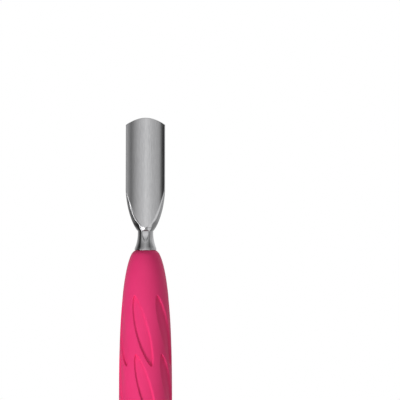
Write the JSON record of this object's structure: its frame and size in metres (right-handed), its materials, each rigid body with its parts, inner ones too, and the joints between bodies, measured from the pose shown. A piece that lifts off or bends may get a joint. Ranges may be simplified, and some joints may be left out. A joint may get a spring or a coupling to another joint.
{
  "type": "cuticle pusher",
  "caption": "Double-ended manicure tool: a rounded, hollowed steel pusher at one end, a hatchet-shaped steel cleaner at the other, and a soft silicone grip with leaf-shaped recesses between.",
  "frame": {"origin": "the middle of the grip, on its axis", "axes": "+Z along the tool towards the spoon; -Y is the side that the spoon's hollow and the blade's flat face look to; +X is the side that the blade's heel stands out on"},
  "size_m": [0.01, 0.0094, 0.14],
  "materials": {
    "silicone": "soft-touch matte",
    "core_steel": "turned",
    "polished_steel": "fine satin polish"
  },
  "bodies": {
    "root": {"grip_sleeve": "silicone", "handle_core": "core_steel", "spoon_end": "polished_steel", "blade_end": "polished_steel", "spoon_end_pin": "core_steel", "blade_end_pin": "core_steel"}
  },
  "joints": []
}
